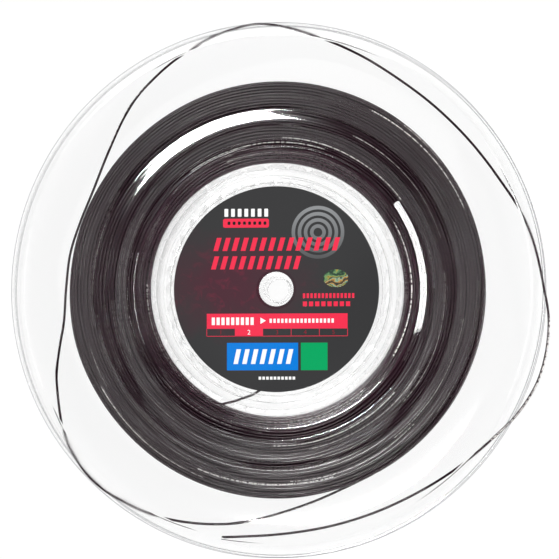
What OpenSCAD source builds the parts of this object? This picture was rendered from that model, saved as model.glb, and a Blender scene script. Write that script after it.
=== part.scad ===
// String reel: two clear flange mouldings joined at the hub, a wound
// monofilament between them, and a round label with a small oval seal.
// The reel lies on its rear hub face. Z is the reel's axis, z = 0 is the
// rear hub face and +Y is the top of the label.

/* [Flanges] */
// Outer diameter of both rims
rim_d = 270; // [264:1:280]
// Thickness of the moulded walls
wall = 1.5; // [1.2:0.1:1.8]
// Clear width between the flat webs of the two flanges
web_gap = 15.6; // [15.2:0.1:17]
// Open slit between the two rim walls, where the string is drawn out
rim_slit = 2.4; // [2:0.1:3]
// Thickness of the wall that stands in from each rim
rim_wall = 1.6; // [1.2:0.1:2]
// Radius of the rounded rim corner
rim_round = 0.6; // [0.5:0.1:1.2]
// Radial width of the land between the step and the rim's edge
land_w = 7; // [6:0.5:9]
// Depth of the step inside the land
step_drop = 0.5; // [0.2:0.1:0.8]
// Drop of the web between its gentle bend and the step
web_drop = 0.7; // [0.3:0.1:1]
// Radial width of the sloping web outside the gentle bend
slope_w = 11; // [8:0.5:14]

/* [Dish] */
// Radius where the dish round the hub begins
dish_in_r = 76.1; // [75:0.1:77]
// Radius of the crease where the dish meets the flat web
dish_out_r = 91; // [88:0.5:95]
// Radius of the crest at the edge of the hub face
crest_round = 5; // [3:0.5:8]
// Radius of the bend at the foot of the hub's shoulder
foot_round = 1; // [0.5:0.1:2]
// Slope of the hub's shoulder in degrees
shoulder_a = 30; // [26:1:34]
// Slope of the dish at its outer crease in degrees
crease_a = 7; // [4:0.5:8]
// Slope of the dish at its foot in degrees
foot_a = 0; // [0:0.5:2]

/* [Hub] */
// Height over the two hub faces
hub_h = 22; // [21.4:0.1:24]
// Diameter of the bore that turns on the spindle
bore_d = 12; // [8:0.5:13]
// Outer diameter of the central tube
tube_d = 17; // [16:0.1:18]
// Chamfer at both mouths of the bore
bore_chamfer = 0.6; // [0.2:0.1:1]
// Wall of the front flange's collar that grips the central tube
collar_w = 1.8; // [1.2:0.1:3]
// Length of that collar below the front web
collar_h = 7; // [4:0.5:9]
// Number of teeth in the toothed ring and of pockets in the drum
tooth_n = 36; // [24:2:48]
// Outer radius of the front flange's toothed ring
teeth_r = 57; // [56.5:0.1:58]
// Depth of the teeth inside that ring
teeth_h = 2.5; // [1.5:0.1:2.7]
// Least wall of that ring, behind the gaps between its teeth
teeth_wall = 0.7; // [0.5:0.1:1]
// Radial gap between that ring and the drum on the rear flange
drum_gap = 3.6; // [3.2:0.1:4]
// Thickness of the drum over its inner and outer wall
drum_wall = 3; // [2.6:0.1:3.4]
// Thickness of each of those two walls at a pocket
pocket_wall = 0.6; // [0.5:0.05:0.8]
// Plastic left between each pocket's bottom and the rear web
pocket_floor = 1; // [0.6:0.1:2]
// Width of the ribs between the pockets, at the drum's inner wall
rib_w = 0.8; // [0.6:0.1:1.2]
// Width of the slots that the string's start runs through
slot_w = 7.6; // [7:0.1:9]

/* [Label] */
// Diameter of the round label
label_d = 103.6; // [98:0.2:105]
// Thickness of the label
label_t = 0.3; // [0.15:0.05:0.35]
// Depth of the recess that the label lies in
recess_h = 0.6; // [0.4:0.05:0.8]
// Radial margin of clear plastic round the label
recess_gap = 1.6; // [0.5:0.1:1.7]
// Height of the raised ring round the central tube
bead_h = 0.25; // [0.1:0.05:0.3]
// Width of the raised ring and its slope
bead_w = 1.5; // [1:0.1:2]
// Width of the oval seal
seal_w = 12.6; // [8:0.2:15]
// Height of the oval seal
seal_h = 9; // [6:0.2:10]
// Thickness of the oval seal
seal_t = 0.1; // [0.05:0.05:0.15]
// Distance from the label's right edge in to the seal's middle
seal_in = 21.8; // [18:0.1:30]
// Place of the seal's middle above the axis
seal_y = 5.3; // [0:0.1:8]

/* [String] */
// Diameter of the string
string_d = 1.25; // [1.1:0.05:1.4]
// Outer radius of the winding
wound_r = 105; // [100:0.5:106]
// Gap between the winding and the lowest place of the dish, on each side
wound_gap = 0.25; // [0.1:0.05:0.6]
// Loops of the outer layer that show on the front of the winding
face_loops = 17; // [12:1:18]
// Loops of the outer layer round its outside, less the last part turn
side_loops = 4; // [2:1:4]

/* [Clearances] */
// Between parts that slip into each other
fit_gap = 0.1; // [0.05:0.05:0.3]
// Between walls that end near the opposite flange
end_gap = 0.3; // [0.2:0.1:0.5]
// Between the string and what it lies on
lay_gap = 0.1; // [0.05:0.05:0.2]

/* [Hidden] */
$fn = 96;

// ---- Heights, measured from the plane midway between the flanges ----
mid_z = hub_h / 2;
face_h = hub_h / 2;
floor_h = face_h - recess_h;
web_h = web_gap / 2 + wall;
land_h = web_h - web_drop - step_drop;

// ---- Radii of the shell ----
rim_r = rim_d / 2;
step_r = rim_r - land_w;
bend_r = step_r - slope_w;
recess_r = label_d / 2 + recess_gap;
tube_r = tube_d / 2;
bore_r = bore_d / 2;
hole_r = tube_r + fit_gap;
draft = 0.3;         // taper of the recess edge and of the step
rim_draft = 0.2;     // taper of the rim wall
tip_round = 0.4;     // rounding of the rim wall's free edge
root_round = 0.3;    // fillet where the rim wall leaves the land
bend_round = 40;     // radius of the web's gentle bend
sink = 0.3;          // how far a ring is let into the web that carries it
bead_top = 0.5;      // width of the flat crown on the raised ring

// ---- The long shallow arc of the dish, from its foot to its crease ----
dish_r = (dish_out_r - dish_in_r) / (sin(crease_a) + sin(foot_a));
dish_c = [dish_out_r - dish_r * sin(crease_a), web_h + dish_r * cos(crease_a)];
foot_top = dish_c[1] - dish_r * cos(foot_a);
// ---- The shoulder that climbs from the dish to the hub face ----
foot_c = [dish_in_r + foot_round * sin(foot_a), foot_top + foot_round * cos(foot_a)];
foot_end = foot_c - foot_round * [sin(shoulder_a), cos(shoulder_a)];
crest_h = face_h - crest_round * (1 - cos(shoulder_a));
crest_r = foot_end[0] - (crest_h - foot_end[1]) / tan(shoulder_a);
face_r = crest_r - crest_round * sin(shoulder_a);

// Points on an arc whose angles are the slopes of a falling line, in degrees
function crown(c, r, a0, a1, n) = [for (i = [0 : n]) let (a = a0 + (a1 - a0) * i / n) c + r * [sin(a), cos(a)]];
function hollow(c, r, a0, a1, n) = [for (i = [0 : n]) let (a = a0 + (a1 - a0) * i / n) c - r * [sin(a), cos(a)]];
function turned(pts) = [for (i = [len(pts) - 1 : -1 : 0]) pts[i]];
function lowered(pts, d) = [for (p = pts) [p[0], p[1] - d]];
function rest(pts) = [for (i = [1 : len(pts) - 1]) pts[i]];
function unit(v) = v / norm(v);

// A smooth curve through the points, with one more point between each two
function tangent(p, i) = let (a = max(i - 1, 0), b = min(i + 1, len(p) - 1)) (p[b] - p[a]) / (b - a);
function midway(p, i) = (p[i] + p[i + 1]) / 2 + (tangent(p, i) - tangent(p, i + 1)) / 8;
function smoothed(p) = concat([for (i = [0 : len(p) - 2], mid = [false, true]) mid ? midway(p, i) : p[i]],
                              [p[len(p) - 1]]);

// Outer face of a flange from its recess to its land, as [radius, height]
bend_a = atan(web_drop / slope_w);
outer_line = concat(
    [[recess_r, floor_h], [recess_r + draft, face_h]],
    crown([face_r, face_h - crest_round], crest_round, 0, shoulder_a, 6),
    hollow(foot_c, foot_round, shoulder_a, foot_a, 4),
    rest(hollow(dish_c, dish_r, foot_a, -crease_a, 8)),
    crown([bend_r, web_h - bend_round], bend_round, 0, bend_a, 3),
    [[step_r, web_h - web_drop], [step_r + 2 * draft, land_h]]);

// The rim: rounded corner, wall towards the other flange, and back to the land
slit_h = rim_slit / 2;
tip_r = rim_r - rim_draft;
wall_r = rim_r - rim_wall;
corner_line = crown([rim_r - rim_round, land_h - rim_round], rim_round, 0, 90, 6);
tip_line = [[tip_r, slit_h + tip_round], [tip_r - tip_round, slit_h],
            [wall_r + tip_round, slit_h], [wall_r, slit_h + tip_round]];
root_line = crown([wall_r - rim_draft - root_round, land_h - wall - root_round], root_round, 90, 0, 3);

shell_line = concat(outer_line, corner_line, tip_line, root_line, turned(lowered(outer_line, wall)));

// Middle of the front flange: raised ring on top, collar round the tube below
collar_low = floor_h - wall - collar_h;
front_top = [[hole_r, floor_h + bead_h], [hole_r + bead_top, floor_h + bead_h], [hole_r + bead_w, floor_h]];
front_low = [[hole_r + collar_w, floor_h - wall], [hole_r + collar_w, collar_low], [hole_r, collar_low]];

// Middle of the rear flange: the central tube, as long as the reel is high
tube_h = floor_h + bead_h;
rear_top = [[bore_r, tube_h - bore_chamfer], [bore_r + bore_chamfer, tube_h], [tube_r, tube_h], [tube_r, floor_h]];
rear_low = [[tube_r, floor_h - wall], [tube_r, -tube_h], [bore_r + bore_chamfer, -tube_h],
            [bore_r, bore_chamfer - tube_h]];

// ---- Rings between the two webs ----
inner_h = face_h - wall;
ring_h = inner_h + sink;                      // a ring's height in the web that carries it
ring_end = inner_h - end_gap;                 // and near the opposite web
teeth_slot_b = -104.5;                        // bearings of the slots for the string's start
drum_slot_b = -113.5;
teeth_top_r = teeth_r - teeth_wall;
drum_in_r = teeth_r + drum_gap;
drum_r = drum_in_r + drum_wall;
seal_x = label_d / 2 - seal_in;

// ---- The winding, as thick as the dish leaves room for ----
wound_w = 2 * (dish_c[1] - dish_r - wall - wound_gap);
ring_n = 24;                                  // rings in each loop
loop_b = -121;                                // bearing where the first loop begins
end_b = -62;                                  // bearing where the last loop lets go
part_turn = (loop_b - end_b + 360) / 360;     // last part turn of the outside
loops = face_loops + side_loops + part_turn;
lay_h = wound_w / 2 - string_d / 2;
lay_r = wound_r - string_d / 2;
lay_in_r = drum_r + end_gap + string_d;
face_pitch = (lay_r - lay_in_r) / face_loops;
side_pitch = 2 * lay_h / (side_loops + part_turn);
core_front = lay_h - string_d / 2 - lay_gap;
core_rear = wound_w / 2;
core_in_r = drum_r + end_gap;
core_r = lay_r * cos(180 / ring_n) - string_d / 2 - lay_gap;

function spot(b, r, z) = [r * cos(b), r * sin(b), z];
function loop_at(t) = let (face_t = min(t, face_loops))
    spot(loop_b - 360 * t, lay_in_r + face_pitch * face_t, mid_z + lay_h - side_pitch * (t - face_t));

loop_pts = [for (i = [0 : floor(loops * ring_n)]) loop_at(i / ring_n)];
first_dir = unit(loop_at(0.01) - loop_at(0));
last_dir = unit(loop_at(loops) - loop_at(loops - 0.01));
root_pt = loop_at(0) - string_d * first_dir;
exit_pt = loop_at(loops) + string_d * last_dir;
winding_pts = concat([root_pt], loop_pts, [loop_at(loops), exit_pt]);

// Least gap of the wound tube to itself, on its rings and midway between them
fine_pts = [for (i = [0 : len(loop_pts) - 2], k = [0, 0.5]) loop_pts[i] * (1 - k) + loop_pts[i + 1] * k];
loop_n = 2 * ring_n;
loop_gaps = [for (i = [0 : len(fine_pts) - 1], j = [loop_n - 4 : loop_n + 4])
             if (i + j < len(fine_pts)) norm(fine_pts[i] - fine_pts[i + j]) - string_d];
echo(least_gap_of_winding = min(loop_gaps));

// ---- The loose end and the string's start, as [bearing, radius, height] ----
tail_route = [
    [-80, 108, 4], [-96, 116.5, 4], [-107, 123, 4.5], [-116, 128, 5.5], [-122, 131, 8],
    [-127, 132.5, 10.6], [-131, 134, 10.6], [-136, 134.5, 10.6], [-141, 133, 10.6], [-147, 130, 8.5],
    [-160, 120, 4.5], [-172, 110.5, 4], [-190, 108, 4], [-208, 107.5, 4], [-228, 118, 4.2],
    [-239, 124.5, 5], [-248, 129, 7.5], [-256, 133, 10.6], [-265, 135.5, 10.6], [-273, 132.5, 10.6],
    [-281, 128.5, 7.5], [-292, 124.5, 4.6], [-308, 121.5, 4.3], [-322, 122, 4.3], [-334, 124.5, 5],
    [-344, 129, 8], [-352, 131.5, 10.4], [-360, 134, 10.7], [-366, 137, 10.6], [-373, 138.5, 9.8],
    [-380, 138.5, 9.8], [-387, 136, 10.6], [-392, 133, 10.6], [-401, 128.5, 7.5], [-412, 124.5, 4.8],
    [-425, 122, 4.3], [-438, 121.5, 4.3], [-451, 123, 4.5], [-463, 127.5, 5]];
start_route = [[-98, teeth_r - 7], [-101, teeth_r - 4.5], [-104, teeth_r - 2], [-107, teeth_r],
               [-111, drum_in_r - 0.4], [-113.5, (drum_in_r + drum_r) / 2], [-116, drum_r + 0.6]];
tail_pts = concat([exit_pt], smoothed(concat([exit_pt + string_d * last_dir],
                                             [for (p = tail_route) spot(p[0], p[1], p[2])])));
start_pts = concat([for (p = start_route) spot(p[0], p[1], mid_z + lay_h)],
                   [root_pt - string_d * first_dir, root_pt]);

// A tube of n sides along the points, its ends flat
module tube(pts, d, n) {
    last = len(pts) - 1;
    rings = [for (i = [0 : last])
        let (t = unit(pts[min(i + 1, last)] - pts[max(i - 1, 0)]),
             u = unit(cross(t, [0, 0, 1])),
             v = cross(u, t))
        for (k = [0 : n - 1]) pts[i] + d / 2 * (u * cos(360 * k / n) + v * sin(360 * k / n))];
    sides = [for (i = [0 : last - 1], k = [0 : n - 1], upper = [false, true])
        let (a = i * n + k, b = i * n + (k + 1) % n)
        upper ? [b, b + n, a + n] : [a, b, a + n]];
    caps = [for (k = [1 : n - 2], far = [false, true])
        far ? [last * n, last * n + k, last * n + k + 1] : [0, k + 1, k]];
    polyhedron(rings, concat(sides, caps));
}

// One flange moulding, seen as the front one: middle, hub face, web and rim
module shell(middle_top, middle_low) {
    rotate_extrude() polygon(concat(middle_top, shell_line, middle_low));
}

// A slot through a ring, centred on a bearing
module slot(b, r_in, r_out, h_low, h_high) {
    rotate(b) translate([r_in - 1, -slot_w / 2, h_low]) cube([r_out - r_in + 2, slot_w, h_high - h_low]);
}

// Ring with pointed teeth on its inside
module toothed_ring() {
    teeth = [for (i = [0 : 2 * tooth_n - 1])
        let (r = teeth_top_r - (i % 2) * teeth_h, a = 180 * i / tooth_n) [r * cos(a), r * sin(a)]];
    difference() {
        translate([0, 0, -ring_end]) linear_extrude(ring_end + ring_h) difference() {
            circle(teeth_r);
            polygon(teeth);
        }
        slot(teeth_slot_b, teeth_top_r - teeth_h, teeth_r, -face_h, lay_h + string_d);
    }
}

// Drum on which the string is wound: two walls with U-shaped pockets between them
module pocketed_drum() {
    bow_n = 8;    // steps across each pocket's round outer side
    in_r = drum_in_r + pocket_wall;
    depth = drum_wall - 2 * pocket_wall;
    half_a = 180 / tooth_n - asin(rib_w / 2 / in_r);
    bow = [for (i = [0 : bow_n])
        let (r = in_r + depth * sqrt(sin(180 * i / bow_n)), a = half_a * (2 * i / bow_n - 1))
        [r * cos(a), r * sin(a)]];
    difference() {
        translate([0, 0, -ring_h]) linear_extrude(ring_h + ring_end) difference() {
            circle(drum_r);
            circle(drum_in_r);
        }
        for (i = [1 : tooth_n])
            rotate(360 * i / tooth_n) translate([0, 0, pocket_floor - inner_h]) linear_extrude(2 * inner_h)
                polygon(bow);
        slot(drum_slot_b, drum_in_r, drum_r, lay_h - string_d, face_h);
    }
}

module front_flange() {
    color([0.93, 0.95, 0.97, 0.5]) translate([0, 0, mid_z]) {
        shell(front_top, front_low);
        toothed_ring();
    }
}

module rear_flange() {
    color([0.88, 0.92, 0.95, 0.5]) translate([0, 0, mid_z]) {
        mirror([0, 0, 1]) shell(rear_top, rear_low);
        pocketed_drum();
    }
}

// The label follows the floor of the recess and climbs the raised ring
module front_label() {
    edge = [[hole_r + fit_gap, floor_h + bead_h], [hole_r + bead_top, floor_h + bead_h],
            [hole_r + bead_w, floor_h], [label_d / 2, floor_h]];
    color([0.2, 0.18, 0.19]) translate([0, 0, mid_z])
        rotate_extrude() polygon(concat(edge, turned(lowered(edge, -label_t))));
}

module oval_seal() {
    oval = [for (a = [0 : 10 : 350]) [seal_w / 2 * cos(a), seal_h / 2 * sin(a)]];
    color([0.55, 0.6, 0.5]) translate([seal_x, seal_y, mid_z + floor_h + label_t])
        linear_extrude(seal_t) polygon(oval);
}

module winding_core() {
    color([0.16, 0.13, 0.15]) translate([0, 0, mid_z]) rotate_extrude()
        translate([core_in_r, -core_rear]) square([core_r - core_in_r, core_front + core_rear]);
}

module string_winding() {
    color([0.24, 0.19, 0.22]) tube(winding_pts, string_d, 6);
}

module string_start() {
    color([0.24, 0.19, 0.22]) tube(start_pts, string_d, 8);
}

module string_tail() {
    color([0.24, 0.19, 0.22]) tube(tail_pts, string_d, 8);
}

front_flange();
rear_flange();
front_label();
oval_seal();
winding_core();
string_winding();
string_start();
string_tail();
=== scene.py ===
"""A clear plastic reel with 200 m of dark tennis string wound on its drum.

The reel lies on its rear hub face. Sizes are in millimetres in the classes and become metres where a mesh
is made. Z is the reel's axis, z = 0 is the rear hub face and +Y is the top of the label.
"""

import logging
import math
from dataclasses import dataclass, field
from enum import Enum

import bmesh
import bpy
from mathutils import Matrix, Quaternion, Vector


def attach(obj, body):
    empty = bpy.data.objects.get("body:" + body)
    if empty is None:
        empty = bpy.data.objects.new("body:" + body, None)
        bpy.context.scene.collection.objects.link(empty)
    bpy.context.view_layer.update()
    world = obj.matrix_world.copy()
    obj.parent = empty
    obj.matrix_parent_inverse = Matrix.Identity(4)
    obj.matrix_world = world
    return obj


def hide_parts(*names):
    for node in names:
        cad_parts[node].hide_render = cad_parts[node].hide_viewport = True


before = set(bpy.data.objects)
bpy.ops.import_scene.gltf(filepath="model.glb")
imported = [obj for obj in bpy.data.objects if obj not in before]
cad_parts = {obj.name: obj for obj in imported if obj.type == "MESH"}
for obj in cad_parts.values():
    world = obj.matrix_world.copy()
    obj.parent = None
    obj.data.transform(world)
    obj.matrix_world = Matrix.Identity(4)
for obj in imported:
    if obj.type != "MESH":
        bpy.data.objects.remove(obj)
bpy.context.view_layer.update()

MM = 0.001
log = logging.getLogger("string_reel")

Point = tuple[float, float]
Place = tuple[float, float, float]


# ---------------------------------------------------------------- small tools


def linear(code: str) -> tuple[float, float, float, float]:
    """Turns an sRGB hex colour into the linear colour that the shaders take.

    Args:
        code: a colour such as "#37282D".

    Returns:
        Red, green, blue and an alpha of 1, each from 0 to 1.
    """
    parts = [int(code[i:i + 2], 16) / 255 for i in (1, 3, 5)]
    red, green, blue = (p / 12.92 if p <= 0.04045 else ((p + 0.055) / 1.055) ** 2.4 for p in parts)
    return red, green, blue, 1.0


def add_node(tree: bpy.types.NodeTree, kind: str, inputs: dict | None = None,
             **settings: object) -> bpy.types.Node:
    """Adds one node with its settings, its values and its links.

    Args:
        tree: the node tree that the node goes into.
        kind: the node's type name.
        inputs: socket name or number, and the value or the output socket that it takes.
        **settings: the node's own properties.

    Returns:
        The new node.
    """
    node = tree.nodes.new(kind)
    for name, value in settings.items():
        setattr(node, name, value)
    for key, value in (inputs or {}).items():
        if isinstance(value, bpy.types.NodeSocket):
            tree.links.new(value, node.inputs[key])
        else:
            node.inputs[key].default_value = value
    return node


def mesh_object(name: str, points: list[Place], faces: list[tuple[int, ...]],
                edges: list[tuple[int, int]] | None = None) -> bpy.types.Object:
    """Makes a mesh object at the origin from points in millimetres.

    Args:
        name: the piece's name.
        points: its corners.
        faces: its faces, as corner numbers.
        edges: loose edges, for a line.

    Returns:
        The linked object.
    """
    mesh = bpy.data.meshes.new(name)
    mesh.from_pydata([[c * MM for c in p] for p in points], edges or [], faces)
    mesh.update()
    made = bpy.data.objects.new(name, mesh)
    bpy.context.scene.collection.objects.link(made)
    return made


def smooth(piece: bpy.types.Object, degrees: float = 30.0) -> None:
    """Shades a mesh smooth and keeps the edges sharper than the angle."""
    piece.data.shade_smooth()
    piece.data.set_sharp_from_angle(angle=math.radians(degrees))


def report(piece: bpy.types.Object) -> None:
    """Says in the log how many faces a finished piece has."""
    log.info("%s: %d faces", piece.name, len(piece.data.polygons))


def applied(piece: bpy.types.Object) -> bpy.types.Object:
    """Turns a piece with its modifiers into a plain mesh.

    Args:
        piece: the object.

    Returns:
        The same object, with its new mesh and no modifier.
    """
    bpy.context.view_layer.update()
    graph = bpy.context.evaluated_depsgraph_get()
    mesh = bpy.data.meshes.new_from_object(piece.evaluated_get(graph))
    piece.modifiers.clear()
    piece.data = mesh
    return piece


def formed(piece: bpy.types.Object, tree: bpy.types.NodeTree, values: dict) -> bpy.types.Object:
    """Runs a Geometry Nodes tree on a piece and keeps the result as its plain mesh.

    Args:
        piece: the object that the tree starts from.
        tree: the tree, with named inputs.
        values: input name and value.

    Returns:
        The same object, with its new mesh and no modifier.
    """
    modifier = piece.modifiers.new(tree.name, "NODES")
    modifier.node_group = tree
    for item in tree.interface.items_tree:
        if item.in_out == "INPUT" and item.name in values:
            modifier[item.identifier] = values[item.name]
    return applied(piece)


def new_form(name: str, sockets: dict[str, str]) -> tuple[bpy.types.NodeTree, bpy.types.Node]:
    """Starts a Geometry Nodes tree with a geometry in, a geometry out and named inputs.

    Args:
        name: the tree's name.
        sockets: input name and socket type.

    Returns:
        The tree and its input node.
    """
    tree = bpy.data.node_groups.new(name, "GeometryNodeTree")
    tree.interface.new_socket("Geometry", in_out="INPUT", socket_type="NodeSocketGeometry")
    for label, kind in sockets.items():
        tree.interface.new_socket(label, in_out="INPUT", socket_type=kind)
    tree.interface.new_socket("Geometry", in_out="OUTPUT", socket_type="NodeSocketGeometry")
    return tree, add_node(tree, "NodeGroupInput")


def end_form(tree: bpy.types.NodeTree, geometry: bpy.types.NodeSocket,
             finish: bpy.types.NodeSocket) -> None:
    """Ends a tree in Realize Instances and Set Material.

    Args:
        tree: the Geometry Nodes tree.
        geometry: what it has made.
        finish: its input for the material.
    """
    real = add_node(tree, "GeometryNodeRealizeInstances", {"Geometry": geometry})
    dressed = add_node(tree, "GeometryNodeSetMaterial", {"Geometry": real.outputs[0], "Material": finish})
    add_node(tree, "NodeGroupOutput", {"Geometry": dressed.outputs[0]})


def arc(centre: Point, radius: float, first: float, last: float, steps: int,
        side: float = 1.0) -> list[Point]:
    """Points on a profile's arc, given by the slope of a falling line in degrees.

    Args:
        centre: the arc's centre as radius and height.
        radius: the arc's own radius.
        first: slope where it starts.
        last: slope where it ends.
        steps: number of steps.
        side: 1 for a crown over the centre, -1 for a hollow under it.

    Returns:
        The points, ends included.
    """
    (r, h), reach = centre, side * radius
    slopes = [math.radians(first + (last - first) * i / steps) for i in range(steps + 1)]
    return [(r + reach * math.sin(a), h + reach * math.cos(a)) for a in slopes]


def outward(piece: bpy.types.Object, split: bool = False) -> None:
    """Points the faces of a closed mesh outwards.

    Args:
        piece: the object.
        split: whether faces of more than four corners become triangles.
    """
    body = bmesh.new()
    body.from_mesh(piece.data)
    bmesh.ops.recalc_face_normals(body, faces=body.faces)
    if split:
        bmesh.ops.triangulate(body, faces=[face for face in body.faces if len(face.verts) > 4])
    body.to_mesh(piece.data)
    body.free()


def spot(bearing: float, radius: float, height: float) -> Vector:
    """A point in millimetres from its bearing in degrees, radius and height."""
    angle = math.radians(bearing)
    return Vector((radius * math.cos(angle), radius * math.sin(angle), height))


def revolved(name: str, line: list[Point], steps: int) -> bpy.types.Object:
    """Turns a closed outline of radius and height round the axis, with its faces outwards.

    Args:
        name: the piece's name.
        line: the outline's points, in millimetres.
        steps: steps round the axis.

    Returns:
        The closed mesh object.
    """
    count = len(line)
    points = [tuple(spot(360 * i / steps, r, z)) for i in range(steps) for r, z in line]
    faces = [(i * count + k, ((i + 1) % steps) * count + k, ((i + 1) % steps) * count + (k + 1) % count,
              i * count + (k + 1) % count) for i in range(steps) for k in range(count)]
    piece = mesh_object(name, points, faces)
    outward(piece)
    return piece


# ---------------------------------------------------------------- finishes


def new_finish(name: str) -> tuple[bpy.types.Material, bpy.types.NodeTree, bpy.types.Node, bpy.types.Node]:
    """Starts a material.

    Args:
        name: the material's name.

    Returns:
        The material, its tree, its Principled shader and its output.
    """
    finish = bpy.data.materials.new(name)
    finish.use_nodes = True
    tree = finish.node_tree
    return finish, tree, tree.nodes["Principled BSDF"], tree.nodes["Material Output"]


@dataclass(frozen=True)
class ClearPolystyrene:
    """Injection-moulded clear polystyrene: hard and glossy, nearly colourless, with faint flow lines.

    The mesh brings two attributes: a painted-shade mark on the rim's corner and on the tip of its wall, where
    grey stands in for the dark lines that bending light draws there, and straight_share on the walls so thin
    that part of the light passes them without bending.
    """

    ior: float = 1.5               # polystyrene has 1.59; a little lower, so that thin edges stay light
    roughness: float = 0.04
    tint: str = "#FEFEFE"
    # grey painted shade for the rim's corner and wall tip
    edge_tint: str = "#C9C9CB"
    flow_mm: float = 30.0          # spacing of the soft unevenness left by the mould's flow
    flow_depth: float = 0.01
    least_share: float = 0.01      # under this share of straight light a wall counts as smooth and thick

    def make(self) -> bpy.types.Material:
        """Builds the clear plastic. Light to and from the string inside passes it as straight rays.

        Returns:
            The material.
        """
        finish, tree, shader, output = new_finish("clear_polystyrene")
        place = add_node(tree, "ShaderNodeTexCoord")
        flow = add_node(tree, "ShaderNodeTexNoise",
                        {"Vector": place.outputs["Object"], "Scale": 1 / (self.flow_mm * MM), "Detail": 2.0})
        bump = add_node(tree, "ShaderNodeBump",
                        {"Height": flow.outputs["Fac"], "Strength": self.flow_depth, "Distance": 1 * MM})
        tree.links.new(bump.outputs["Normal"], shader.inputs["Normal"])
        # Painted shade: grey goes into the plastic's colour, and into what passes straight, where the rim's
        # corner and wall tip are marked
        smoke = add_node(tree, "ShaderNodeAttribute", attribute_name="edge_painted_shade")
        colour = add_node(tree, "ShaderNodeMix", {"Factor": smoke.outputs["Fac"], "A": linear(self.tint),
                                                  "B": linear(self.edge_tint)}, data_type="RGBA")
        tree.links.new(colour.outputs["Result"], shader.inputs["Base Color"])
        shader.inputs["Roughness"].default_value = self.roughness
        shader.inputs["IOR"].default_value = self.ior
        shader.inputs["Transmission Weight"].default_value = 1.0
        through = add_node(tree, "ShaderNodeBsdfTransparent", {"Color": colour.outputs["Result"]})
        straight = add_node(tree, "ShaderNodeAttribute", attribute_name="straight_share")
        smooth_wall = add_node(tree, "ShaderNodeMath", {0: straight.outputs["Fac"], 1: self.least_share},
                               operation="LESS_THAN")
        rays = add_node(tree, "ShaderNodeLightPath")
        bounced = add_node(tree, "ShaderNodeMath", {0: rays.outputs["Is Diffuse Ray"],
                                                    1: rays.outputs["Is Glossy Ray"]}, operation="MAXIMUM")
        bounced = add_node(tree, "ShaderNodeMath", {0: bounced.outputs[0], 1: smooth_wall.outputs[0]},
                           operation="MULTIPLY")
        share = add_node(tree, "ShaderNodeMath", {0: bounced.outputs[0], 1: straight.outputs["Fac"]},
                         operation="MAXIMUM")
        share = add_node(tree, "ShaderNodeMath", {0: rays.outputs["Is Shadow Ray"], 1: share.outputs[0]},
                         operation="MAXIMUM")
        mixed = add_node(tree, "ShaderNodeMixShader", {0: share.outputs[0], 1: shader.outputs[0],
                                                       2: through.outputs[0]})
        tree.links.new(mixed.outputs[0], output.inputs["Surface"])
        return finish


@dataclass(frozen=True)
class PolyesterString:
    """Extruded co-polyester monofilament: dark plum, smooth and semi-gloss, with a fine white line of print.

    The mesh brings two attributes: along_mm runs along the string and around once round it, from 0 to 1.
    """

    dark: str = "#150A10"
    light: str = "#2C1620"
    print_white: str = "#D9D5D2"
    ior: float = 1.57
    roughness: float = 0.12
    gloss: float = 0.24            # of the full reflection: drawing leaves the skin a little dull
    patch_mm: float = 42.0         # length over which the plum tone drifts
    repeat_mm: float = 330.0       # the print comes round once in this length
    printed_mm: float = 70.0       # length of each printed stretch
    dash_mm: float = 1.3           # pitch of the dashes, drawn as coarse as they need to show
    dash_level: float = 0.47       # the lower, the longer the dashes against their gaps
    twist_mm: float = 520.0        # length over which the printed line winds round the string
    print_half: float = 0.075      # half the line's width, as a share of the way round

    def make(self) -> bpy.types.Material:
        """Builds the string's finish from the tube's own lengthwise and round-about attributes.

        Returns:
            The material.
        """
        finish, tree, shader, _ = new_finish("polyester_string")
        place = add_node(tree, "ShaderNodeTexCoord")
        drift = add_node(tree, "ShaderNodeTexNoise",
                         {"Vector": place.outputs["Object"], "Scale": 1 / (self.patch_mm * MM),
                          "Detail": 3.0})
        tone = add_node(tree, "ShaderNodeMix", {"Factor": drift.outputs["Fac"], "A": linear(self.dark),
                                                "B": linear(self.light)}, data_type="RGBA")
        along = add_node(tree, "ShaderNodeAttribute", attribute_name="along_mm").outputs["Fac"]
        around = add_node(tree, "ShaderNodeAttribute", attribute_name="around").outputs["Fac"]
        cycle = add_node(tree, "ShaderNodeMath", {0: along, 1: self.repeat_mm}, operation="MODULO")
        stretch = add_node(tree, "ShaderNodeMath", {0: cycle.outputs[0], 1: self.printed_mm},
                           operation="LESS_THAN")
        beat = add_node(tree, "ShaderNodeTexNoise", {"W": along, "Scale": 1 / self.dash_mm, "Detail": 2.0},
                        noise_dimensions="1D")
        dash = add_node(tree, "ShaderNodeMath", {0: beat.outputs["Fac"], 1: self.dash_level},
                        operation="GREATER_THAN")
        twist = add_node(tree, "ShaderNodeTexNoise", {"W": along, "Scale": 1 / self.twist_mm, "Detail": 0.0},
                         noise_dimensions="1D")
        turned = add_node(tree, "ShaderNodeMath", {0: around, 1: twist.outputs["Fac"]}, operation="SUBTRACT")
        off = add_node(tree, "ShaderNodeMath", {0: turned.outputs[0]}, operation="ABSOLUTE")
        facing = add_node(tree, "ShaderNodeMath", {0: off.outputs[0], 1: self.print_half},
                          operation="LESS_THAN")
        both = add_node(tree, "ShaderNodeMath", {0: stretch.outputs[0], 1: dash.outputs[0]},
                        operation="MULTIPLY")
        inked = add_node(tree, "ShaderNodeMath", {0: both.outputs[0], 1: facing.outputs[0]},
                         operation="MULTIPLY")
        colour = add_node(tree, "ShaderNodeMix", {"Factor": inked.outputs[0], "A": tone.outputs["Result"],
                                                  "B": linear(self.print_white)}, data_type="RGBA")
        tree.links.new(colour.outputs["Result"], shader.inputs["Base Color"])
        shader.inputs["Roughness"].default_value = self.roughness
        shader.inputs["IOR"].default_value = self.ior
        shader.inputs["Specular IOR Level"].default_value = self.gloss
        return finish


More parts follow.
